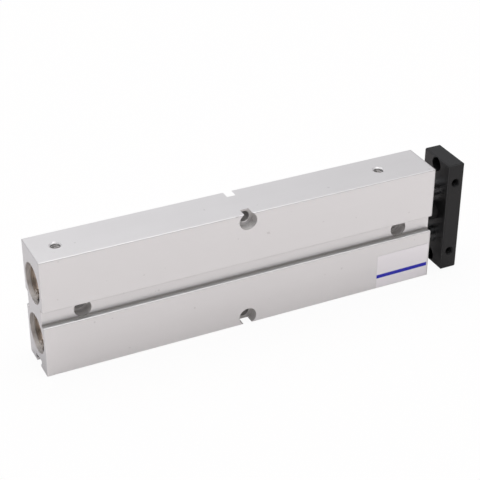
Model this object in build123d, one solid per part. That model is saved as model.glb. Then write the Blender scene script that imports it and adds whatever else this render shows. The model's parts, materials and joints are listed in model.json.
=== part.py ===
from build123d import *
from math import cos, radians, sin
import os

# Double rod pneumatic cylinder: one extruded barrel with two parallel bores, a piston and a rod in
# each bore, and one end plate that joins both rods, so that the plate can't turn.
# All sizes are in millimetres. X runs along the rods from the closed rear end to the end plate,
# Y across the narrow side, and Z up through both bores. Places along X are measured from the
# barrel's rear face, and the last step puts the origin under the middle of the whole part.

# Working sizes
stroke = 125.0
bore_d = 16.0
rod_d = 8.0
rod_spacing = 24.0

# Barrel section
barrel_height = 54.0
barrel_thickness = 21.0
barrel_edge_r = 0.4
groove_width = 7.7
groove_depth = 2.5
groove_corner_r = 0.3
slot_mouth = 5.2
slot_width = 7.2
slot_depth = 3.4
slot_lip = 1.2

# Lengths that stack up along a bore, from the rear face to the front face
clip_setback = 1.8
clip_thickness = 1.0
flange_length = 1.8
cap_spigot = 3.6
pad_thickness = 1.0
end_clearance = 0.3
nut_height = 4.0
rear_piston_length = 7.0
magnet_length = 4.0
front_piston_length = 9.0
gland_spigot = 15.6

# End seats, circlips and the caps and glands that they hold
seat_d = 17.5
clip_groove_depth = 0.55
clip_width = 1.7
clip_offset = 0.35
clip_lug_r = 1.6
clip_lug_inset = 2.45
clip_lug_hole = 1.3
clip_half_gap = 20.0
upper_clip_angle = -95.0
lower_clip_angle = -103.0
static_fit = 0.03
cap_dish_d = 11.0
cap_dish_depth = 0.5
cap_pull_hole = 2.5
cap_pull_depth = 3.0
ring_section = 1.5
ring_sides = 8
ring_groove_width = 1.9
gland_ring_setback = 5.2
pad_d = 12.0
pad_hole = 5.0

# Rod guide and rod seals inside each gland
bush_wall = 1.0
bush_length = 11.6
bush_setback = 0.2
running_fit = 0.03
seal_fit = 0.05
rod_seal_length = 3.1
rod_seal_wall = 2.2
wiper_length = 2.0
lip_depth = 1.4

# Pistons
piston_fit = 0.15
stud_d = 6.0
seat_fit = 0.02
piston_seal_width = 3.0
piston_seal_depth = 2.4
wear_ring_width = 3.2
wear_ring_depth = 1.0
land_width = 0.9
rear_land_width = 2.0
magnet_d = 13.4
front_pad_d = 13.0
nut_flats = 10.0
edge_break = 0.3

# End plate and its fasteners
plate_gap = 7.5
plate_thickness = 8.0
plate_width = 20.0
plate_height = 53.0
plate_chamfer = 0.5
rod_seat_depth = 1.5
rod_screw_d = 5.0
rod_screw_head_d = 9.4
rod_screw_grip = 10.0
rod_screw_socket = 3.0
rod_screw_socket_depth = 2.2
rod_tapping_spare = 3.0
clearance_hole_fit = 0.15
load_hole_spacing = 46.0
load_hole_d = 3.4
load_head_d = 6.5
load_head_depth = 3.4
side_hole_spacing = 35.0
side_thread_d = 4.0
side_hole_depth = 7.0

# Stop bumper on the inner side of the plate
bumper_d = 8.6
bumper_clearance = 0.2
bumper_chamfer = 0.7
insert_d = 6.0
insert_length = 4.5
stop_screw_d = 4.0
stop_screw_head_d = 7.4
stop_screw_grip = 4.0
stop_screw_socket = 2.5
stop_screw_socket_depth = 1.8

# Holes in the barrel
port_thread_d = 5.0
port_minor_d = 4.2
port_chamfer = 0.55
port_from_seal = 2.3
passage_d = 3.0
mount_hole_d = 4.8
mount_head_d = 8.0
mount_head_depth = 4.4
mount_hole_chamfer = 0.4
mount_hole_inset = 3.5
groove_hole_from_port = 7.0
groove_head_d = 7.5
groove_head_depth = 6.5
tapping_share = 0.825
mouth_break = 0.15

# Places along the bore, from the rear face
cap_x = clip_setback + clip_thickness
rear_seat_x = cap_x + flange_length
cap_front_x = rear_seat_x + cap_spigot
rod_rear_x = cap_front_x + pad_thickness + end_clearance
rear_piston_x = rod_rear_x + nut_height
magnet_x = rear_piston_x + rear_piston_length
front_piston_x = magnet_x + magnet_length
shoulder_x = front_piston_x + front_piston_length
front_pad_x = shoulder_x + pad_thickness
gland_x = front_pad_x + end_clearance + stroke
front_seat_x = gland_x + gland_spigot
front_clip_x = front_seat_x + flange_length
barrel_length = front_clip_x + clip_thickness + clip_setback
plate_x = barrel_length + plate_gap
plate_front_x = plate_x + plate_thickness
overall_length = plate_front_x

# Places across the part
middle_z = barrel_height / 2
bore_zs = {"upper": middle_z + rod_spacing / 2, "lower": middle_z - rod_spacing / 2}
clip_angles = {"upper": upper_clip_angle, "lower": lower_clip_angle}
port_xs = (cap_front_x + port_from_seal, gland_x - port_from_seal)
groove_hole_xs = tuple(x + groove_hole_from_port for x in port_xs)
bore_r = bore_d / 2
rod_r = rod_d / 2
stud_r = stud_d / 2
section_plane = Plane.YZ


# Helpers
def turned(points, z):
    """Solid turned about a line along X at height z, from (x, radius) points."""
    outline = make_face(Polyline([(x, r) for x, r in points], close=True))
    return Pos(0, 0, z) * revolve(outline, axis=Axis.X)


def round_bar(x_start, x_end, diameter, z=0.0):
    """Plain round bar along X."""
    bar = Cylinder(diameter / 2, x_end - x_start, align=(Align.CENTER, Align.CENTER, Align.MIN))
    return Pos(x_start, 0, z) * Rot(0, 90, 0) * bar


def sleeve(x_start, x_end, outer_d, inner_d, z, edge=0.0):
    """Round sleeve along X with its outer edges broken."""
    outer_r = outer_d / 2
    inner_r = inner_d / 2
    points = [(x_start, inner_r), (x_end, inner_r), (x_end, outer_r)]
    if edge > 0:
        points = [(x_start, inner_r), (x_end, inner_r), (x_end, outer_r - edge), (x_end - edge, outer_r),
                  (x_start + edge, outer_r), (x_start, outer_r - edge)]
    else:
        points.append((x_start, outer_r))
    return turned(points, z)


def cross_bar(x, z, diameter, y_start, y_end):
    """Plain round bar along Y."""
    bar = Cylinder(diameter / 2, y_end - y_start, align=(Align.CENTER, Align.CENTER, Align.MAX))
    return Pos(x, y_start, z) * Rot(90, 0, 0) * bar


def upright_bar(x, z_start, z_end, diameter):
    """Plain round bar along Z on the middle plane."""
    bar = Cylinder(diameter / 2, z_end - z_start, align=(Align.CENTER, Align.CENTER, Align.MIN))
    return Pos(x, 0, z_start) * bar


def lip_seal(x_start, x_end, inner_r, outer_r, lip_end, z):
    """Seal ring with a V between its two lips, open towards lip_end."""
    middle_r = (inner_r + outer_r) / 2
    quarter = (outer_r - inner_r) / 4
    if lip_end == "front":
        mouth_x, back_x, root_x = x_end, x_start, x_end - lip_depth
    else:
        mouth_x, back_x, root_x = x_start, x_end, x_start + lip_depth
    points = [(back_x, inner_r), (mouth_x, inner_r), (mouth_x, middle_r - quarter), (root_x, middle_r),
              (mouth_x, middle_r + quarter), (mouth_x, outer_r), (back_x, outer_r)]
    return turned(points, z)


def sealing_ring(x_middle, z):
    """Sealing ring that fills its groove: an octagon stands for the round section, to keep its mesh light."""
    pitch_r = bore_r - ring_section / 2 - seat_fit
    section = RegularPolygon(ring_section / 2, ring_sides, major_radius=False, rotation=180 / ring_sides)
    return Pos(0, 0, z) * revolve(Pos(x_middle, pitch_r) * section, axis=Axis.X)


def ring_groove(x_middle):
    """Points of a sealing ring's groove, cut down from a spigot of nearly bore size."""
    half = ring_groove_width / 2
    spigot_r = bore_r - static_fit
    floor_r = bore_r - ring_section - 2 * seat_fit
    return [(x_middle - half, spigot_r), (x_middle - half, floor_r),
            (x_middle + half, floor_r), (x_middle + half, spigot_r)]


# Barrel
def barrel_section():
    """The extruded profile: two bores, a groove in each wide face and a T slot in the base."""
    outer = Pos(0, middle_z) * RectangleRounded(barrel_thickness, barrel_height, barrel_edge_r)
    groove = RectangleRounded(2 * groove_depth, groove_width, groove_corner_r)
    slot = Rectangle(slot_mouth, 2 * slot_depth)
    slot += Pos(0, (slot_lip + slot_depth) / 2) * Rectangle(slot_width, slot_depth - slot_lip)
    section = outer - slot
    for side in (-1, 1):
        trench = groove + Pos(side * groove_depth / 2, 0) * Rectangle(groove_depth, groove_width)
        section -= Pos(side * barrel_thickness / 2, middle_z) * trench
    for z in bore_zs.values():
        section -= Pos(0, z) * Circle(bore_r)
    return section


def end_seats(z):
    """Wider seats at both ends of a bore, each with the groove of its circlip."""
    groove_d = seat_d + 2 * clip_groove_depth
    cuts = round_bar(0, rear_seat_x, seat_d, z) + round_bar(front_seat_x, barrel_length, seat_d, z)
    cuts += round_bar(clip_setback - static_fit, cap_x + static_fit, groove_d, z)
    cuts += round_bar(front_clip_x - static_fit, front_clip_x + clip_thickness + static_fit, groove_d, z)
    return cuts


def port(x):
    """Threaded air port in the top face, drilled on through the upper bore into the lower one."""
    cone = Cone(port_minor_d / 2, port_thread_d / 2 + mouth_break, port_chamfer,
                align=(Align.CENTER, Align.CENTER, Align.MAX))
    cuts = upright_bar(x, bore_zs["upper"], barrel_height, port_minor_d)
    cuts += Pos(x, 0, barrel_height) * cone
    return cuts + upright_bar(x, bore_zs["lower"], bore_zs["upper"], passage_d)


def mounting_hole(x, z, head_d, head_depth):
    """Hole through both wide faces, counterbored on each side for a socket head."""
    half = barrel_thickness / 2
    cuts = cross_bar(x, z, mount_hole_d, -half, half)
    cone = Cone(mount_hole_d / 2 + mount_hole_chamfer, mount_hole_d / 2, mount_hole_chamfer,
                align=(Align.CENTER, Align.CENTER, Align.MIN))
    for side in (-1, 1):
        face_y = side * half
        floor_y = side * (half - head_depth)
        cuts += cross_bar(x, z, head_d, min(face_y, floor_y), max(face_y, floor_y))
        cuts += Pos(x, floor_y, z) * Rot(90 * side, 0, 0) * cone
    return cuts


def barrel():
    body = extrude(section_plane * barrel_section(), barrel_length)
    for z in bore_zs.values():
        body -= end_seats(z)
    for x in port_xs:
        body -= port(x)
    for side in (-1, 1):
        hole_z = middle_z + side * (barrel_height / 2 - mount_hole_inset)
        body -= mounting_hole(barrel_length / 2, hole_z, mount_head_d, mount_head_depth)
    for x in groove_hole_xs:
        body -= mounting_hole(x, middle_z, groove_head_d, groove_head_depth)
    return body


# Closed rear end
def circlip(x, z, angle):
    """Internal circlip: a band that is widest opposite its gap, with a drilled lug at each end."""
    outer_r = seat_d / 2 + clip_groove_depth - static_fit
    gap_x = cos(radians(angle))
    gap_y = sin(radians(angle))
    band = Circle(outer_r)
    band -= Pos(gap_x * clip_offset, gap_y * clip_offset) * Circle(outer_r - clip_width)
    lug_ring_r = seat_d / 2 - clip_lug_inset
    reach = 2 * outer_r
    edges = [(reach * cos(radians(angle + turn)), reach * sin(radians(angle + turn)))
             for turn in (-clip_half_gap, clip_half_gap)]
    band -= make_face(Polyline([(0, 0), edges[0], edges[1]], close=True))
    for turn in (-clip_half_gap, clip_half_gap):
        lug_angle = radians(angle + turn)
        lug_place = Pos(lug_ring_r * cos(lug_angle), lug_ring_r * sin(lug_angle))
        root_place = Pos((outer_r - clip_lug_r) * cos(lug_angle), (outer_r - clip_lug_r) * sin(lug_angle))
        band += lug_place * Circle(clip_lug_r) + root_place * Circle(clip_lug_r)
        band -= lug_place * Circle(clip_lug_hole / 2)
    return Pos(x, 0, z) * extrude(section_plane * band, clip_thickness)


def rear_cap(z):
    """Cap that closes a bore: a flange in the seat, a spigot in the bore and a ring groove."""
    spigot_r = bore_r - static_fit
    flange_r = seat_d / 2 - static_fit
    groove_x = rear_seat_x + cap_spigot / 2
    points = [(cap_x, 0), (cap_x, flange_r - edge_break), (cap_x + edge_break, flange_r),
              (rear_seat_x, flange_r), (rear_seat_x, spigot_r)]
    points += ring_groove(groove_x)
    points += [(cap_front_x - edge_break, spigot_r), (cap_front_x, spigot_r - edge_break), (cap_front_x, 0)]
    cap = turned(points, z)
    cap -= round_bar(cap_x, cap_x + cap_dish_depth, cap_dish_d, z)
    return cap - round_bar(cap_x, cap_x + cap_pull_depth, cap_pull_hole, z)


def rear_cap_ring(z):
    return sealing_ring(rear_seat_x + cap_spigot / 2, z)


def rear_pad(z):
    return sleeve(cap_front_x, cap_front_x + pad_thickness, pad_d, pad_hole, z)


# Guided front end
bush_d = rod_d + 2 * running_fit + 2 * bush_wall
bush_front_x = gland_x + bush_setback + bush_length
seal_pocket_d = rod_d + 2 * rod_seal_wall
gland_front_x = front_clip_x
gland_ring_x = gland_x + gland_ring_setback


def gland(z):
    """Guide and seal carrier: bush bore at the rear, seal pocket at the front."""
    spigot_r = bore_r - static_fit
    flange_r = seat_d / 2 - static_fit
    bush_r = bush_d / 2
    points = [(gland_x, bush_r), (gland_x, spigot_r - edge_break), (gland_x + edge_break, spigot_r)]
    points += ring_groove(gland_ring_x)
    points += [(front_seat_x, spigot_r), (front_seat_x, flange_r), (gland_front_x - edge_break, flange_r),
               (gland_front_x, flange_r - edge_break), (gland_front_x, seal_pocket_d / 2),
               (bush_front_x, seal_pocket_d / 2), (bush_front_x, bush_r)]
    return turned(points, z)


def gland_ring(z):
    return sealing_ring(gland_ring_x, z)


def rod_bush(z):
    return sleeve(gland_x + bush_setback, bush_front_x, bush_d, rod_d + 2 * running_fit, z)


def rod_seal(z):
    lip_r = rod_r + seal_fit
    return lip_seal(bush_front_x, bush_front_x + rod_seal_length, lip_r, seal_pocket_d / 2, "rear", z)


def rod_wiper(z):
    """Scraper at the mouth of the gland: a thin lip that leans out along the rod."""
    start_x = gland_front_x - wiper_length
    lip_r = rod_r + seal_fit
    outer_r = seal_pocket_d / 2
    lip_root_x = start_x + wiper_length / 2
    lip_top_r = lip_r + (outer_r - lip_r) / 4
    points = [(start_x, lip_r + edge_break), (start_x, outer_r), (gland_front_x, outer_r),
              (gland_front_x, (lip_top_r + outer_r) / 2), (lip_root_x, lip_top_r + edge_break),
              (gland_front_x, lip_top_r), (gland_front_x, lip_r)]
    return turned(points, z)


# Pistons and rods
piston_d = bore_d - 2 * piston_fit
piston_hole_d = stud_d + 2 * seat_fit
seal_floor_r = bore_r - piston_seal_depth
wear_floor_r = bore_r - wear_ring_depth


def piston_disc(x_start, x_end, grooves, z):
    """Piston disc on the rod's stud, with (x, width, floor radius) grooves in its rim."""
    rim_r = piston_d / 2
    hole_r = piston_hole_d / 2
    points = [(x_start, hole_r), (x_start, rim_r - edge_break), (x_start + edge_break, rim_r)]
    for groove_x, width, floor_r in grooves:
        points += [(groove_x, rim_r), (groove_x, floor_r), (groove_x + width, floor_r), (groove_x + width, rim_r)]
    points += [(x_end - edge_break, rim_r), (x_end, rim_r - edge_break), (x_end, hole_r)]
    return turned(points, z)


rear_seal_x = rear_piston_x + rear_land_width
wear_ring_x = front_piston_x + land_width
front_seal_x = wear_ring_x + wear_ring_width + land_width


def rear_piston(z):
    return piston_disc(rear_piston_x, magnet_x, [(rear_seal_x, piston_seal_width, seal_floor_r)], z)


def front_piston(z):
    grooves = [(wear_ring_x, wear_ring_width, wear_floor_r), (front_seal_x, piston_seal_width, seal_floor_r)]
    return piston_disc(front_piston_x, shoulder_x, grooves, z)


def piston_seal(x_start, lip_end, z):
    inner_r = seal_floor_r + seat_fit
    start = x_start + seat_fit
    end = x_start + piston_seal_width - seat_fit
    return lip_seal(start, end, inner_r, bore_r - seal_fit, lip_end, z)


def rear_piston_seal(z):
    return piston_seal(rear_seal_x, "rear", z)


def front_piston_seal(z):
    return piston_seal(front_seal_x, "front", z)


def wear_ring(z):
    start = wear_ring_x + seat_fit
    end = wear_ring_x + wear_ring_width - seat_fit
    return sleeve(start, end, bore_d - 2 * running_fit, 2 * (wear_floor_r + seat_fit), z)


def magnet_or_spacer(z):
    return sleeve(magnet_x, front_piston_x, magnet_d, piston_hole_d, z, edge_break)


def piston_nut(z):
    across_corners = nut_flats / cos(radians(30))
    blank = section_plane * (RegularPolygon(across_corners / 2, 6) - Circle(piston_hole_d / 2))
    nut = Pos(rod_rear_x, 0, z) * extrude(blank, nut_height)
    rounding = turned([(rod_rear_x, 0), (rod_rear_x, nut_flats / 2),
                       (rod_rear_x + edge_break, across_corners / 2),
                       (rear_piston_x, across_corners / 2), (rear_piston_x, 0)], z)
    return nut & rounding


def front_pad(z):
    return sleeve(shoulder_x, front_pad_x, front_pad_d, rod_d + 2 * seat_fit, z)


def rod(z):
    """Rod: a thin stud through the piston stack, then full size up to its seat in the plate."""
    stud_start_x = rod_rear_x + edge_break
    tip_x = plate_x + rod_seat_depth
    points = [(stud_start_x, 0), (stud_start_x, stud_r - edge_break), (stud_start_x + edge_break, stud_r),
              (shoulder_x, stud_r), (shoulder_x, rod_r), (tip_x - edge_break, rod_r),
              (tip_x, rod_r - edge_break), (tip_x, 0)]
    tapping_end_x = tip_x - rod_screw_grip - rod_tapping_spare
    return turned(points, z) - round_bar(tapping_end_x, tip_x, rod_screw_d + 2 * seat_fit, z)


# End plate and what it carries
def countersunk_screw(tip_x, screw_d, head_d, socket_flats, socket_depth, z):
    """Countersunk socket screw that points to the rear, its head just under the plate's front face."""
    head_x = plate_front_x - edge_break
    cone_x = head_x - (head_d - screw_d) / 2
    points = [(tip_x, 0), (tip_x, screw_d / 2 - edge_break), (tip_x + edge_break, screw_d / 2),
              (cone_x, screw_d / 2), (head_x, head_d / 2), (head_x, 0)]
    socket_r = socket_flats / 2 / cos(radians(30))
    socket = extrude(section_plane * RegularPolygon(socket_r, 6), socket_depth)
    return turned(points, z) - Pos(head_x - socket_depth, 0, z) * socket


def countersunk_hole(screw_d, head_d, z):
    """Clearance hole through the plate with a 90 degree countersink in its front face."""
    hole_r = screw_d / 2 + clearance_hole_fit
    mouth_r = head_d / 2 + clearance_hole_fit + edge_break
    cone_x = plate_front_x - (mouth_r - hole_r)
    points = [(plate_x, 0), (plate_x, hole_r), (cone_x, hole_r), (plate_front_x, mouth_r), (plate_front_x, 0)]
    return turned(points, z)


def side_hole(side, z):
    """Blind threaded hole in a narrow side of the plate, with its mouth chamfered."""
    face_y = side * plate_width / 2
    floor_y = side * (plate_width / 2 - side_hole_depth)
    minor_d = side_thread_d * tapping_share
    mouth_depth = (side_thread_d - minor_d) / 2 + mouth_break
    hole_x = plate_x + plate_thickness / 2
    cone = Cone(minor_d / 2, side_thread_d / 2 + mouth_break, mouth_depth,
                align=(Align.CENTER, Align.CENTER, Align.MAX))
    hole = cross_bar(hole_x, z, minor_d, min(face_y, floor_y), max(face_y, floor_y))
    return hole + Pos(hole_x, face_y, z) * Rot(-90 * side, 0, 0) * cone


def end_plate():
    blank = Pos(plate_x, 0, middle_z) * Box(plate_thickness, plate_width, plate_height,
                                            align=(Align.MIN, Align.CENTER, Align.CENTER))
    plate = chamfer(blank.edges(), plate_chamfer)
    for z in bore_zs.values():
        plate -= round_bar(plate_x, plate_x + rod_seat_depth, rod_d + 2 * seat_fit, z)
        plate -= countersunk_hole(rod_screw_d, rod_screw_head_d, z)
    plate -= countersunk_hole(stop_screw_d, stop_screw_head_d, middle_z)
    for side in (-1, 1):
        load_z = middle_z + side * load_hole_spacing / 2
        plate -= round_bar(plate_x, plate_front_x, load_hole_d, load_z)
        plate -= round_bar(plate_x, plate_x + load_head_depth, load_head_d, load_z)
        for z_side in (-1, 1):
            plate -= side_hole(side, middle_z + z_side * side_hole_spacing / 2)
    return plate


def rod_screws():
    tip_x = plate_x + rod_seat_depth - rod_screw_grip
    return [countersunk_screw(tip_x, rod_screw_d, rod_screw_head_d, rod_screw_socket,
                              rod_screw_socket_depth, z) for z in bore_zs.values()]


def stop_bumper():
    """Elastic stop between plate and barrel, moulded round a threaded insert."""
    nose_x = barrel_length + bumper_clearance
    outer_r = bumper_d / 2
    insert_r = insert_d / 2 + seat_fit
    floor_x = plate_x - insert_length
    points = [(nose_x, 0), (nose_x, outer_r - bumper_chamfer), (nose_x + bumper_chamfer, outer_r),
              (plate_x, outer_r), (plate_x, insert_r), (floor_x, insert_r), (floor_x, 0)]
    return turned(points, middle_z)


def stop_insert():
    insert_x = plate_x - insert_length + seat_fit
    return sleeve(insert_x, plate_x, insert_d, stop_screw_d + 2 * seat_fit, middle_z)


def stop_screw():
    return countersunk_screw(plate_x - stop_screw_grip, stop_screw_d, stop_screw_head_d,
                             stop_screw_socket, stop_screw_socket_depth, middle_z)


# All pieces by name, each a solid or a list of equal solids
def make_pieces():
    pieces = {"barrel": barrel(), "end_plate": end_plate(), "rod_screws": rod_screws()}
    pieces["stop_bumper"] = stop_bumper()
    pieces["stop_insert"] = stop_insert()
    pieces["stop_screw"] = stop_screw()
    pieces["piston_nuts"] = [piston_nut(z) for z in bore_zs.values()]
    makers = {"rear_cap": rear_cap, "rear_cap_ring": rear_cap_ring, "rear_pad": rear_pad, "gland": gland,
              "gland_ring": gland_ring, "rod_bush": rod_bush, "rod_seal": rod_seal,
              "rod_wiper": rod_wiper, "rod": rod, "rear_piston": rear_piston,
              "rear_piston_seal": rear_piston_seal, "front_piston": front_piston,
              "front_piston_seal": front_piston_seal, "wear_ring": wear_ring, "front_pad": front_pad}
    for side, z in bore_zs.items():
        for name, maker in makers.items():
            pieces[side + "_" + name] = maker(z)
        pieces[side + "_rear_circlip"] = circlip(clip_setback, z, clip_angles[side])
        pieces[side + "_front_circlip"] = circlip(front_clip_x, z, clip_angles[side])
    pieces["lower_magnet"] = magnet_or_spacer(bore_zs["lower"])
    pieces["upper_spacer"] = magnet_or_spacer(bore_zs["upper"])
    return pieces


def main():
    os.makedirs("parts", exist_ok=True)
    to_origin = Pos(-overall_length / 2, 0, 0)
    for name, piece in make_pieces().items():
        solids = piece if isinstance(piece, list) else [piece]
        placed = [to_origin * solid for solid in solids]
        shape = placed[0] if len(placed) == 1 else Compound(children=placed)
        export_step(shape, os.path.join("parts", name + ".step"))
    print("barrel length", round(barrel_length, 3), "overall length", round(overall_length, 3))


main()
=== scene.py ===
# %% [markdown]
# # Dressing a double rod pneumatic cylinder
#
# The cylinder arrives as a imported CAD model: an extruded barrel, two rods, a black end plate and
# every seal and screw inside. This lesson leaves those solids where they are and gives each one the
# surface it has in real life. It adds only what CAD leaves out, which is the screw threads that
# show in the open holes and the thin label on the wide face. All lengths are in metres.

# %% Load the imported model
import json
import math
import bmesh
import bpy
from mathutils import Matrix, Vector


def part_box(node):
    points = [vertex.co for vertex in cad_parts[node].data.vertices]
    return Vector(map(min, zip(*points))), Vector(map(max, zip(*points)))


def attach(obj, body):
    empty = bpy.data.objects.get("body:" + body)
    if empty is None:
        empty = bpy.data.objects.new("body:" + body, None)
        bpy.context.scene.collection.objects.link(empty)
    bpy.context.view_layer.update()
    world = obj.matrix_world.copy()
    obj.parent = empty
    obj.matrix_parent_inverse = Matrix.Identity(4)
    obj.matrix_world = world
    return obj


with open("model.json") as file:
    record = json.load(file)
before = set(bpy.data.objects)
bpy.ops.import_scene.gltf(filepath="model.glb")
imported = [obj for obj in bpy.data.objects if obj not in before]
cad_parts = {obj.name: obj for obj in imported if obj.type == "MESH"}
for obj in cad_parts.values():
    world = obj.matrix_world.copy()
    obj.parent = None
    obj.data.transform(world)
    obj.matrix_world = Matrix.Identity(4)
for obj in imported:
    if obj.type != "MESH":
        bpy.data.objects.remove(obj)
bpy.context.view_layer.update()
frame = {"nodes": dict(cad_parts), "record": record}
nodes = frame["nodes"]
mm = 0.001
barrel_low, barrel_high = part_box("barrel")
plate_low, plate_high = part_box("end_plate")
print("barrel", [round(v / mm, 2) for v in barrel_high - barrel_low], "mm")

# %% [markdown]
# ## Camera
#
# The photograph was taken from the rear left and above, with a long lens, so that the sides of the
# barrel hardly converge. A camera needs three things here: where it stands, the point it looks at
# and how much it is tilted about its own view line. They were worked out from twenty straight edges
# of barrel and plate. A lens of about 104 mm then makes those edges fall where the photograph has
# them.

# %% Place the camera
camera_place = Vector((-0.222796, -0.450290, 0.336283))
camera_target = Vector((-0.006569, 0.0, 0.035591))
camera_tilt = math.radians(0.17)
camera_lens = 103.66

camera_data = bpy.data.cameras.new("photo_camera")
camera_data.lens = camera_lens
camera_data.clip_start = 0.01
camera = bpy.data.objects.new("photo_camera", camera_data)
bpy.context.scene.collection.objects.link(camera)
aim = (camera_target - camera_place).to_track_quat("-Z", "Y").to_matrix()
tilted_aim = aim @ Matrix.Rotation(camera_tilt, 3, "Z")
camera.matrix_world = Matrix.Translation(camera_place) @ tilted_aim.to_4x4()
bpy.context.scene.camera = camera
bpy.context.scene.view_settings.view_transform = "Standard"
print("camera distance", round((camera_target - camera_place).length, 3), "m")

# %% [markdown]
# ## Writing shader maths as Python
#
# A finish is a net of nodes, and wiring it by hand hides what it computes. The class `Wire` stands
# for one output socket. Its operators add Math nodes, so `1 - mask` or `tone * 0.5` reads as it
# would on paper. The class `Finish` holds one material, adds any other node through one method and
# ends in a Principled BSDF. Whatever is the same all over a surface is set on that shader directly.

# %% Wires and finishes
class Wire:
    """One output socket of a finish, with arithmetic that adds Math nodes."""

    def __init__(self, finish, socket):
        self.finish = finish
        self.socket = socket

    def maths(self, operation, *values):
        return self.finish.node("ShaderNodeMath", {"operation": operation}, dict(enumerate(values)))

    def __add__(self, other):
        return self.maths("ADD", self, other)

    def __sub__(self, other):
        return self.maths("SUBTRACT", self, other)

    def __rsub__(self, other):
        return self.maths("SUBTRACT", other, self)

    def __mul__(self, other):
        return self.maths("MULTIPLY", self, other)

    def __truediv__(self, other):
        return self.maths("DIVIDE", self, other)

    def __lt__(self, other):
        return self.maths("LESS_THAN", self, other)

    def __gt__(self, other):
        return self.maths("GREATER_THAN", self, other)

    __radd__ = __add__

    def power(self, exponent):
        return self.maths("POWER", self, exponent)

    def size(self):
        return self.maths("ABSOLUTE", self)

    def larger(self, other):
        return self.maths("MAXIMUM", self, other)

    def smaller(self, other):
        return self.maths("MINIMUM", self, other)

    def wave(self):
        return self.maths("SINE", self)


class Finish:
    """A material that ends in one Principled BSDF."""

    def __init__(self, name, **constants):
        self.material = bpy.data.materials.new(name)
        self.material.use_nodes = True
        self.tree = self.material.node_tree
        self.shader = self.tree.nodes["Principled BSDF"]
        for key, value in constants.items():
            self.shader.inputs[key.replace("_", " ")].default_value = value
        self.place = self.node("ShaderNodeTexCoord", output="Object")
        self.x, self.y, self.z = self.parts(self.place)

    def node(self, kind, settings=None, inputs=None, output=0):
        """Adds a node: its settings first, then the values or wires of its sockets."""
        made = self.tree.nodes.new(kind)
        for key, value in (settings or {}).items():
            setattr(made, key, value)
        for key, value in (inputs or {}).items():
            self.join(value, made.inputs[key])
        return Wire(self, made.outputs[output])

    def join(self, value, socket):
        """Links a wire to a socket, or writes a plain value there."""
        if isinstance(value, Wire):
            self.tree.links.new(value.socket, socket)
        else:
            socket.default_value = value

    def parts(self, vector):
        """The three parts of a vector as wires."""
        split = self.tree.nodes.new("ShaderNodeSeparateXYZ")
        self.join(vector, split.inputs[0])
        return [Wire(self, out) for out in split.outputs]

    def vector(self, x, y, z):
        return self.node("ShaderNodeCombineXYZ", None, {"X": x, "Y": y, "Z": z})

    def noise(self, where, scale, detail, roughness=0.5):
        """Soft noise from 0 to 1, with `scale` features in a metre."""
        sockets = {"Vector": where, "Scale": scale, "Detail": detail, "Roughness": roughness}
        return self.node("ShaderNodeTexNoise", None, sockets)

    def blend(self, share, one, other):
        """Colour that goes from one to other as share goes from 0 to 1."""
        return self.node("ShaderNodeMix", {"data_type": "RGBA"}, {0: share, 6: one, 7: other}, 2)

    def step(self, value, low, high):
        """0 below low, 1 above high and a smooth rise in between."""
        return self.node("ShaderNodeMapRange", {"interpolation_type": "SMOOTHSTEP"},
                         {"Value": value, "From Min": low, "From Max": high})

    def bump(self, height, depth, under=None):
        """Normal from a height of 0 to 1 that stands for `depth` metres, over another bump."""
        sockets = {"Height": height, "Distance": depth, "Strength": 1.0}
        if under is not None:
            sockets["Normal"] = under
        return self.node("ShaderNodeBump", None, sockets)

    def paint(self, **wires):
        """Joins wires to the shader's sockets and gives the finish back."""
        for key, wire in wires.items():
            self.join(wire, self.shader.inputs[key.replace("_", " ")])
        return self


def grey(value, warm=0.0):
    """A near grey colour. Positive warm leans to brown, negative to blue."""
    return (value * (1 + warm), value, value * (1 - warm), 1.0)


# %% [markdown]
# ## Bare facts about the holes
#
# Several finishes change where a drill or a cutter has been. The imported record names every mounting
# hole with its place, so the places are read from there and nothing is measured twice.

# %% Read the hole places
mounts = {m["name"]: m for m in frame["record"]["mounts"]}


def along_barrel(name, axis, spacing):
    """The two hole centres of an inline pattern, as vectors."""
    middle = Vector(mounts[name]["pos_m"])
    half = mounts[name]["dims"][spacing] * mm / 2
    return [middle - axis * half, middle + axis * half]


x_axis, z_axis = Vector((1, 0, 0)), Vector((0, 0, 1))
side_holes = (along_barrel("middle_mounting_holes", z_axis, "spacing_y_mm")
              + along_barrel("groove_mounting_holes", x_axis, "spacing_x_mm"))
print("cross holes at", [(round(p.x / mm, 1), round(p.z / mm, 1)) for p in side_holes])

# %% [markdown]
# ## Clear anodised extrusion
#
# The barrel is pushed through a die as one long bar, etched matt and anodised. Three things give
# the look away. Die lines run along the bar, too faint to feel. The etch leaves an even grain finer
# than a grain of salt. Cut surfaces, such as the sawn ends and the drilled holes, show tool marks
# instead. Metallic is kept a little below 1, because the oxide layer scatters some light of its
# own. A hole is told from the faces round it by place: it lies within a short reach of the drill's
# axis and under the outer faces. A mask starts as a wire of zeros, and each hole is added to it.

# %% Tone of the barrel
anodised = Finish("clear_anodised_aluminium", Metallic=0.78)


def drawn_lines(along, across, detail, roughness=0.5):
    """Noise drawn out along the bar, from how many features a metre holds along and across it."""
    stretched = anodised.vector(anodised.x * along, anodised.y * across, anodised.z * across)
    return anodised.noise(stretched, 1.0, detail, roughness)


die_lines = drawn_lines(3, 900, 3.0, 0.7)
broad_lines = drawn_lines(1.5, 160, 2.0)
grain = anodised.noise(anodised.place, 5200, 2.0)
cloud = anodised.noise(anodised.place, 38, 3.0, 0.6)

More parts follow.
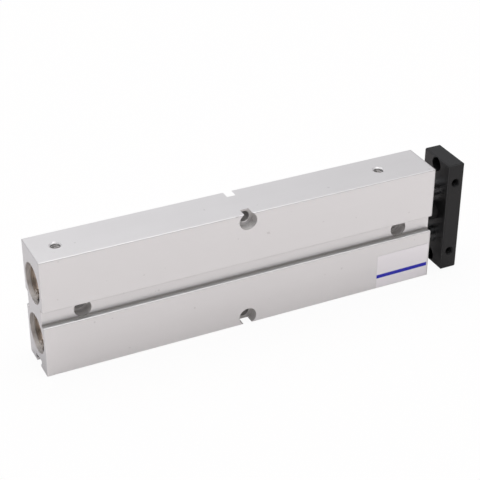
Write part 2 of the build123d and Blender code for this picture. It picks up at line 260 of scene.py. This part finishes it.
middle_head_reach, groove_head_reach = 4.03 * mm, 3.78 * mm
head_reaches = [middle_head_reach] * 2 + [groove_head_reach] * 2
core_reach = mounts["middle_mounting_holes"]["dims"]["hole_r_mm"] * mm + 0.05 * mm
skin = 0.06 * mm
under_faces = ((anodised.y.size() < barrel_high.y - skin) * (anodised.z < barrel_high.z - skin)
               * (anodised.z > barrel_low.z + skin))
bored, hole_core_shade = under_faces * 0, under_faces * 0
for centre, reach in zip(side_holes, head_reaches):
    from_axis = ((anodised.x - centre.x).power(2) + (anodised.z - centre.z).power(2)).power(0.5)
    bored = bored.larger((from_axis < reach) * under_faces)
    hole_core_shade = hole_core_shade.larger((from_axis < core_reach) * under_faces)
tool_ring_rate = 8400
tool_rings = ((anodised.y.size() * tool_ring_rate).wave() + 1) * 0.5 * bored
normal_x = anodised.parts(anodised.node("ShaderNodeNewGeometry", output="Normal"))[0].size()
end_face = anodised.step(normal_x, 0.9, 0.99) * (1 - bored)
machined = bored.larger(end_face)

metal_tone = anodised.blend(cloud, grey(0.77, 0.004), grey(0.81, 0.003))
lined_tone = anodised.blend(broad_lines * 0.3, metal_tone, grey(0.72, 0.008))
# painted shade: the end faces are coloured darker than the drawn faces, standing in for the shade
# they lie in
end_shade_tone = anodised.blend(end_face * 0.9, lined_tone, grey(0.52, -0.02))
ring_tone = anodised.blend(tool_rings * 0.5, grey(0.93, 0.01), grey(0.45, 0.03))
bored_tone = anodised.blend(bored, end_shade_tone, ring_tone)
# painted shade: the narrow core of each hole is coloured dark, standing in for the shade inside it
hole_shade_tone = anodised.blend(hole_core_shade * 0.4, bored_tone, grey(0.16, 0.06))

# %% [markdown]
# Handling leaves a few flecks on the drawn faces. The inner corners of the groove get a painted
# shade: their colour is darkened there, standing in for the shade that falls in them. Its mask is the
# distance from the corner, and it fades faster along the groove's wall than along its floor.

# %% Flecks and painted corner shade
fleck_field = anodised.noise(anodised.place, 330, 1.0)
flecks = anodised.step(fleck_field, 0.76, 0.79) * (1 - machined)
flecked_tone = anodised.blend(flecks * 0.25, hole_shade_tone, grey(0.36, 0.03))

barrel_middle = (barrel_low + barrel_high) / 2
barrel_half = (barrel_high - barrel_low) / 2
groove_half, groove_deep = 3.85 * mm, 2.5 * mm
corner_shade_squeeze, corner_shade_full_r, corner_shade_end_r = 2.2, 0.3 * mm, 1.5 * mm
from_wide_face = barrel_half.y - anodised.y.size()
beside_groove = (anodised.z - barrel_middle.z).size() - groove_half
above_floor = (from_wide_face - groove_deep) * corner_shade_squeeze
from_corner = (above_floor.power(2) + beside_groove.power(2)).power(0.5)
# painted shade: the groove's inner corners are coloured darker, standing in for the shade there
corner_shade = 1 - anodised.step(from_corner, corner_shade_full_r, corner_shade_end_r)
barrel_tone = anodised.blend(corner_shade * 0.78, flecked_tone, grey(0.30, 0.06))

# %% [markdown]
# No real edge is a knife edge. A second height falls away over the last part of a millimetre beside
# each sharp edge, so that the shading bends there and the edge catches light as a rounded one does.
# The fall starts level and ends at a slope of one in one, as a round corner does halfway round.
# The die gives the lips of the groove a wider round on the groove's walls than on the wide face.

# %% Relief of the barrel
end_r, wall_r, land_r = 0.5 * mm, 1.2 * mm, 0.12 * mm
from_end = barrel_half.x - (anodised.x - barrel_middle.x).size()
from_outside = from_wide_face.smaller(barrel_half.z - (anodised.z - barrel_middle.z).size())


def rounded(distance, radius):
    """How far a rounded edge has fallen, in millimetres, at a distance from the sharp edge."""
    return (1 - distance / radius).larger(0.0).power(2) * (radius / mm / 2)


end_fall = rounded((from_end.power(2) + from_outside.power(2)).power(0.5), end_r)
wall_fall = rounded(from_wide_face, wall_r) * (beside_groove.size() < 0.1 * mm)
land_fall = rounded(beside_groove.size(), land_r) * (from_wide_face < 0.02 * mm)
saw_rate_up, saw_rate_across = 9000, 2200
saw_wave = (anodised.z * saw_rate_up + anodised.y * saw_rate_across).wave()
saw_marks = (saw_wave + 1) * 0.5 * end_face
relief = die_lines * 0.5 * (1 - machined) + grain * 0.25 + saw_marks * 0.5 + tool_rings * 7.0
relief_depth = 0.012 * mm
marked = anodised.bump(relief, relief_depth)
anodised.paint(Base_Color=barrel_tone,
               Roughness=0.31 + die_lines * 0.05 + cloud * 0.04 + bored * 0.16,
               Normal=anodised.bump(1 - end_fall - wall_fall - land_fall, mm, marked))

# %% [markdown]
# ## Black anodised plate
#
# The end plate is milled from bar, tumbled and dyed black in the anodising bath. Black anodising
# is never quite black: the light it sends back is a soft sheen from its matt surface. A low base
# colour with a middling roughness gives that. The roughness wanders a little, because the tumbling
# stones don't touch every spot alike. The hard chamfers lose some dye, so they are a shade lighter.
# A point is on an edge where it is near two sides of the plate at once.

# %% Finish of the end plate
black_anodised = Finish("black_anodised_aluminium", Metallic=0.0, Specular_IOR_Level=0.3)
plate_centre = (plate_low + plate_high) / 2
plate_half = (plate_high - plate_low) / 2
side_share = [((black_anodised.x - plate_centre.x) / plate_half.x).size(),
              ((black_anodised.y - plate_centre.y) / plate_half.y).size(),
              ((black_anodised.z - plate_centre.z) / plate_half.z).size()]
wear_starts, wear_full = 0.45 * mm, 0.3 * mm
near_sides = [black_anodised.step(share, 1 - wear_starts / half, 1 - wear_full / half)
              for share, half in zip(side_share, plate_half)]
meeting = near_sides[0] + near_sides[1] + near_sides[2]
edge_wear = black_anodised.step(meeting, 1.3, 1.9)
patches = black_anodised.noise(black_anodised.place, 90, 4.0, 0.6)
plate_grain = black_anodised.noise(black_anodised.place, 3600, 2.0)
scratch_place = black_anodised.vector(black_anodised.x * 300, black_anodised.y * 4200,
                                      black_anodised.z * 260)
scratches = black_anodised.step(black_anodised.noise(scratch_place, 1.0, 1.0), 0.74, 0.78)
plate_tone = black_anodised.blend(patches, grey(0.007, -0.05), grey(0.012, -0.04))
worn_tone = black_anodised.blend(edge_wear * patches, plate_tone, grey(0.06, -0.02))
black_anodised.paint(Base_Color=black_anodised.blend(scratches * 0.4, worn_tone, grey(0.04)),
                     Roughness=0.36 + patches * 0.16 - edge_wear * 0.06,
                     Normal=black_anodised.bump(plate_grain + scratches * 0.5, 0.010 * mm))

# %% [markdown]
# ## Turned, ground and plated metal
#
# Rods, caps, glands, pistons, nuts and screws all come off a lathe. A lathe leaves rings: round
# the axis on a flat face, and side by side along a shaft. One function makes both, because a ring's
# place is a distance from the axis on one and a distance along it on the other, and their sum
# serves either surface. What tells the metals apart is colour, gloss and how coarse the rings are.
# They stand in a table, with ring pitch and ring depth in millimetres.

# %% Finish of the turned metals
bore_heights = [(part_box(f"{side}_rod")[0].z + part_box(f"{side}_rod")[1].z) / 2
                for side in ("upper", "lower")]
middle_height = sum(bore_heights) / 2


def turned_metal(name, dark, light, roughness, ring_pitch, ring_depth, metallic):
    """A lathe-cut metal. Its rings run round whichever bore axis is nearer."""
    finish = Finish(name, Metallic=metallic)
    up = finish.z - middle_height
    off_axis = up.size() - (bore_heights[0] - middle_height)
    radius = (finish.y.power(2) + off_axis.power(2)).power(0.5)
    rings = (((radius + finish.x) * (2 * math.pi / ring_pitch)).wave() + 1) * 0.5
    stain = finish.noise(finish.place, 240, 3.0, 0.6)
    fine = finish.noise(finish.place, 4000, 1.0)
    tone = finish.blend(stain, dark, light)
    return finish.paint(Base_Color=tone, Roughness=roughness + stain * 0.10,
                        Normal=finish.bump(rings * 0.8 + fine * 0.2, ring_depth))


# name: dark tone, light tone, roughness, ring pitch, ring depth, share of metal
turned_metals = {
    "turned_aluminium": (grey(0.62, 0.12), grey(0.72, 0.10), 0.24, 0.16, 0.006, 1.0),
    "tapped_aluminium": (grey(0.56, 0.03), grey(0.68, 0.02), 0.18, 0.16, 0.003, 1.0),
    "hard_chrome": (grey(0.74, -0.02), grey(0.84, -0.01), 0.08, 0.06, 0.0003, 1.0),
    "blackened_steel": (grey(0.025), grey(0.05, 0.04), 0.34, 0.2, 0.004, 0.6),
    "spring_steel": (grey(0.26, 0.14), grey(0.40, 0.12), 0.34, 0.3, 0.003, 1.0),
    "zinc_steel": (grey(0.50, -0.03), grey(0.62, -0.02), 0.28, 0.2, 0.004, 1.0),
    "bronze": ((0.42, 0.25, 0.11, 1), (0.55, 0.35, 0.17, 1), 0.38, 0.14, 0.004, 1.0),
    "brass": ((0.60, 0.44, 0.18, 1), (0.72, 0.56, 0.26, 1), 0.26, 0.14, 0.004, 1.0),
    "magnet": (grey(0.035), grey(0.07), 0.55, 0.5, 0.003, 0.3),
}
finishes = {"clear_anodised_aluminium": anodised, "black_anodised_aluminium": black_anodised}
for finish_name, (dark, light, roughness, pitch, depth, metallic) in turned_metals.items():
    finishes[finish_name] = turned_metal(finish_name, dark, light, roughness, pitch * mm,
                                         depth * mm, metallic)

# %% [markdown]
# ## Rubber and plastic
#
# The seals are nitrile rubber, the pads are urethane, the guide bands are acetal, and the stop
# between barrel and plate is black urethane. Moulded parts have no tool marks. They have a slight
# orange peel and a bloom that dulls the rubber in patches. A bump of two noises gives the first,
# and a roughness that follows the bloom gives the second.


# %% Finish of the moulded pieces
def moulded(name, dark, light, roughness, peel_depth, coat):
    """A moulded rubber or plastic with orange peel and a patchy bloom."""
    finish = Finish(name, Metallic=0.0, Coat_Weight=coat)
    bloom = finish.noise(finish.place, 320, 3.0, 0.6)
    peel = finish.noise(finish.place, 2600, 2.0)
    tone = finish.blend(bloom, dark, light)
    return finish.paint(Base_Color=tone, Roughness=roughness + bloom * 0.18,
                        Normal=finish.bump(peel * 0.7 + bloom * 0.3, peel_depth))


# name: dark tone, light tone, roughness, depth of the orange peel, weight of the coat
moulded_materials = {
    "nitrile_rubber": (grey(0.012), grey(0.024), 0.45, 0.010, 0.0),
    "urethane": ((0.42, 0.24, 0.07, 1), (0.52, 0.32, 0.11, 1), 0.32, 0.008, 0.2),
    "black_urethane": (grey(0.010), grey(0.022), 0.42, 0.012, 0.0),
    "acetal": (grey(0.70, 0.03), grey(0.78, 0.03), 0.35, 0.006, 0.0),
}
for finish_name, (dark, light, roughness, peel, coat) in moulded_materials.items():
    finishes[finish_name] = moulded(finish_name, dark, light, roughness, peel * mm, coat)

for subpart in frame["record"]["subparts"]:
    for material_slot in nodes[subpart["node"]].material_slots:
        material_slot.material = finishes[subpart["material_slot"]].material

# %% [markdown]
# ## Pieces made from operators
#
# A new piece starts as a few vertices in a bmesh, and operators such as spin and extrude do the
# rest. This helper turns the finished bmesh into an object with the finish as its material and puts
# it on the body it moves with.


# %% Helper for new pieces
def new_piece(name, shape, finish, body):
    """An object from a bmesh, with outward faces, riding on a body of the model."""
    bmesh.ops.recalc_face_normals(shape, faces=shape.faces)
    mesh = bpy.data.meshes.new(name)
    shape.to_mesh(mesh)
    shape.free()
    mesh.materials.append(finish.material)
    piece = bpy.data.objects.new(name, mesh)
    bpy.context.scene.collection.objects.link(piece)
    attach(piece, body)
    return piece


# %% [markdown]
# ## Threads in the open holes
#
# The two air ports and the four holes in the plate's narrow sides are tapped. Light catches the
# crest of each turn, and that sparkle is how the eye tells a tapped hole from a plain one. A bump
# could fake it, but a real ridge also shows in the hole's outline. So one small profile is spun
# round the hole's axis while it climbs by the pitch, which is the spin operator with a step along
# the axis. Its foot lies a little inside the metal. The ridge ends about half a turn short of
# either end of the hole, so that it stays clear of the piston in the bore.

# %% Cut the threads
foot_depth = 0.02 * mm
foot_share, crest_share = 0.44, 0.08
steps_per_turn = 28


def thread(name, mount, pitch, ridge, finish, body):
    """A helical ridge on the wall of a tapped hole, from the mount's place, radius and length."""
    wall_r = mount["dims"]["r_mm"] * mm
    length = mount["dims"]["length_mm"] * mm
    turns = length / pitch - 2
    steps = round(turns * steps_per_turn)
    shape = bmesh.new()
    foot_r, crest_r = wall_r + foot_depth, wall_r - ridge
    profile = [(foot_r, foot_share), (crest_r, crest_share),
               (crest_r, -crest_share), (foot_r, -foot_share)]
    corners = [shape.verts.new((r, 0, share * pitch - turns * pitch / 2)) for r, share in profile]
    start_cap = shape.faces.new(corners)
    rim = list(start_cap.edges)
    spun = bmesh.ops.spin(shape, geom=rim, cent=(0, 0, 0), axis=(0, 0, 1),
                          angle=math.tau * steps / steps_per_turn,
                          dvec=(0, 0, pitch / steps_per_turn), steps=steps, use_merge=False)
    last_rim = [e for e in spun["geom_last"] if isinstance(e, bmesh.types.BMEdge)]
    bmesh.ops.edgenet_fill(shape, edges=last_rim)
    turn = Vector(mount["axis"]).to_track_quat("Z", "Y").to_matrix().to_4x4()
    placed = Matrix.Translation(Vector(mount["pos_m"])) @ turn
    bmesh.ops.transform(shape, matrix=placed, verts=shape.verts)
    piece = new_piece(name, shape, finish, body)
    print(name, "turns", round(turns, 1), "faces", len(piece.data.polygons))


port_pitch, side_pitch = 0.8 * mm, 0.7 * mm
port_ridge, side_ridge = 0.2 * mm, 0.17 * mm
for place_name in ("port_rear", "port_front"):
    thread(f"thread_{place_name}", mounts[place_name], port_pitch, port_ridge,
           finishes["tapped_aluminium"], "barrel_body")
for face_name in ("front_upper", "front_lower", "back_upper", "back_lower"):
    thread(f"thread_plate_{face_name}", mounts[f"plate_side_thread_{face_name}"], side_pitch,
           side_ridge, finishes["black_anodised_aluminium"], "rod_carriage")

# %% [markdown]
# ## Label
#
# A silvery foil label with a blue band sits low on the wide face beside the end plate, stuck on by
# hand and so not quite straight. It is a tenth of a millimetre thick with small round corners: one
# flat face, bevelled at its four corners and extruded, so that its edge throws the thin line that
# makes a stuck-on label look stuck on. The band is painted by place, as ink is.

# %% Make the label
label_left = barrel_low.x + 153.35 * mm
label_right = barrel_low.x + 179.4 * mm
label_bottom, label_top = 0.65 * mm, 16.9 * mm
label_thickness = 0.1 * mm
label_corner_r = 0.25 * mm
label_lean = 0.009
label_middle = Vector(((label_left + label_right) / 2, 0, (label_bottom + label_top) / 2))
band_bottom, band_top = 5.4 * mm, 7.2 * mm
band_right = label_right - 0.25 * mm

foil = Finish("label_foil", Specular_IOR_Level=0.25)
foil_height = foil.z - (foil.x - label_middle.x) * label_lean
blue_ink = (foil_height > band_bottom) * (foil_height < band_top) * (foil.x < band_right)
sparkle = foil.noise(foil.place, 5000, 2.0)
smudge = foil.noise(foil.place, 60, 3.0)
foil_tone = foil.blend(smudge, (0.86, 0.85, 0.87, 1), (0.91, 0.90, 0.92, 1))
ink_tone = foil.blend(smudge, (0.026, 0.030, 0.48, 1), (0.032, 0.036, 0.53, 1))
foil.paint(Base_Color=foil.blend(blue_ink, foil_tone, ink_tone), Roughness=0.30 + smudge * 0.08,
           Metallic=0.78 - blue_ink * 0.43, Normal=foil.bump(sparkle, 0.003 * mm))

label_shape = bmesh.new()
corners = [(label_left, label_bottom), (label_right, label_bottom),
           (label_right, label_top), (label_left, label_top)]
label_shape.faces.new([label_shape.verts.new((x, barrel_low.y, z)) for x, z in corners])
bmesh.ops.bevel(label_shape, geom=label_shape.verts[:], offset=label_corner_r,
                offset_type="OFFSET", segments=4, profile=0.5, affect="VERTICES", material=-1)
grown = bmesh.ops.extrude_face_region(label_shape, geom=label_shape.faces[:])
lifted = [v for v in grown["geom"] if isinstance(v, bmesh.types.BMVert)]
bmesh.ops.translate(label_shape, vec=(0, -label_thickness, 0), verts=lifted)
bmesh.ops.rotate(label_shape, cent=label_middle, matrix=Matrix.Rotation(-label_lean, 3, "Y"),
                 verts=label_shape.verts)
new_piece("label", label_shape, foil, "barrel_body")
label_size = (label_right - label_left, label_top - label_bottom)
print("label", [round(side / mm, 1) for side in label_size], "mm")

# %% [markdown]
# ## Floor and light
#
# A catalogue picture has no horizon: the paper under the object simply is white. The floor mixes
# its plain paper with a glow. The camera meets nearly all glow, so it sees white with a faint
# shadow. Mirror and see-through rays meet a tenth of it, and all other rays only the plain paper.
#
# Metal looks like metal only when it has something dark to mirror. In a photo studio that is the
# unlit room behind the camera. The world is therefore bright all round and above, a fifth dimmer on
# the side of the end plate, and nearly dark in front, up to the overhead light. Camera rays see
# plain white everywhere. A wide soft box above does the rest.


# %% Rays that see the white
def linked(tree, kind, settings=None, inputs=None, output=0):
    """Adds a node to a tree and returns one of its outputs, or None where it has none."""
    made = tree.nodes.new(kind)
    for key, value in (settings or {}).items():
        setattr(made, key, value)
    for key, value in (inputs or {}).items():
        if isinstance(value, bpy.types.NodeSocket):
            tree.links.new(value, made.inputs[key])
        else:
            made.inputs[key].default_value = value
    return None if output is None else made.outputs[output]


def ray_share(tree, camera_share, mirror_share):
    """camera_share for camera rays, mirror_share for glossy and see-through rays, else 0."""
    rays = tree.nodes.new("ShaderNodeLightPath").outputs
    bent = linked(tree, "ShaderNodeMath", {"operation": "MAXIMUM"},
                  {0: rays["Is Glossy Ray"], 1: rays["Is Transmission Ray"]})
    mirrored = linked(tree, "ShaderNodeMath", {"operation": "MULTIPLY"},
                      {0: bent, 1: mirror_share})
    seen = linked(tree, "ShaderNodeMath", {"operation": "MULTIPLY"},
                  {0: rays["Is Camera Ray"], 1: camera_share})
    return linked(tree, "ShaderNodeMath", {"operation": "MAXIMUM"}, {0: mirrored, 1: seen})


# %% Floor
floor_half = 4.0
floor_shape = bmesh.new()
bmesh.ops.create_grid(floor_shape, x_segments=1, y_segments=1, size=floor_half)
floor_mesh = bpy.data.meshes.new("floor")
floor_shape.to_mesh(floor_mesh)
floor_shape.free()
floor = bpy.data.objects.new("floor", floor_mesh)
bpy.context.scene.collection.objects.link(floor)

paper = bpy.data.materials.new("white_paper")
paper.use_nodes = True
paper_tree = paper.node_tree
paper_tree.nodes.clear()
plain = linked(paper_tree, "ShaderNodeBsdfDiffuse", None, {"Color": (0.96, 0.925, 0.915, 1)})
glow = linked(paper_tree, "ShaderNodeEmission", None, {"Color": (1, 1, 1, 1)})
glow_share = ray_share(paper_tree, 0.93, 0.10)
paper_mix = linked(paper_tree, "ShaderNodeMixShader", None, {0: glow_share, 1: plain, 2: glow})
linked(paper_tree, "ShaderNodeOutputMaterial", None, {"Surface": paper_mix}, None)
floor_mesh.materials.append(paper)

# %% World
sky_bright, room_dim = 0.72, 0.07
world = bpy.data.worlds.new("studio")
bpy.context.scene.world = world
world.use_nodes = True
sky_tree = world.node_tree
sky_tree.nodes.clear()
direction = linked(sky_tree, "ShaderNodeTexCoord", None, None, "Generated")
split = sky_tree.nodes.new("ShaderNodeSeparateXYZ")
sky_tree.links.new(direction, split.inputs[0])


def sky_ramp(part, low, high, start, end):
    """A smooth ramp over one part of the view direction."""
    sockets = {"Value": split.outputs[part], "From Min": low, "From Max": high,
               "To Min": start, "To Max": end}
    return linked(sky_tree, "ShaderNodeMapRange", {"interpolation_type": "SMOOTHSTEP"}, sockets)


in_front = sky_ramp(1, -0.62, -0.30, 1.0, 0.0)
under_lamp = sky_ramp(2, 0.54, 0.70, 1.0, 0.0)
unlit_room = linked(sky_tree, "ShaderNodeMath", {"operation": "MULTIPLY"},
                    {0: in_front, 1: under_lamp})
to_the_right = sky_ramp(0, 0.25, 0.60, sky_bright, sky_bright * 0.80)
brightness = linked(sky_tree, "ShaderNodeMapRange", None,
                    {"Value": unlit_room, "To Min": to_the_right, "To Max": room_dim})
camera_only = ray_share(sky_tree, 1.0, 0.0)
final_strength = linked(sky_tree, "ShaderNodeMath", {"operation": "MAXIMUM"},
                        {0: brightness, 1: camera_only})
sky_colour = linked(sky_tree, "ShaderNodeMix", {"data_type": "RGBA"},
                    {0: camera_only, 6: (0.99, 0.97, 1.0, 1), 7: (1, 1, 1, 1)}, 2)
background = linked(sky_tree, "ShaderNodeBackground", None,
                    {"Color": sky_colour, "Strength": final_strength})
linked(sky_tree, "ShaderNodeOutputWorld", None, {"Surface": background}, None)


# %% Lamps
def soft_box(name, place, target, width, height, power):
    """A rectangular area lamp that faces its target."""
    lamp = bpy.data.lights.new(name, "AREA")
    lamp.shape = "RECTANGLE"
    lamp.size = width
    lamp.size_y = height
    lamp.energy = power
    box = bpy.data.objects.new(name, lamp)
    box.location = place
    box.rotation_euler = (Vector(target) - Vector(place)).to_track_quat("-Z", "Y").to_euler()
    bpy.context.scene.collection.objects.link(box)


middle = (0.0, 0.0, 0.03)
soft_box("overhead", (0.10, 0.08, 1.5), middle, 2.4, 1.7, 14.8)
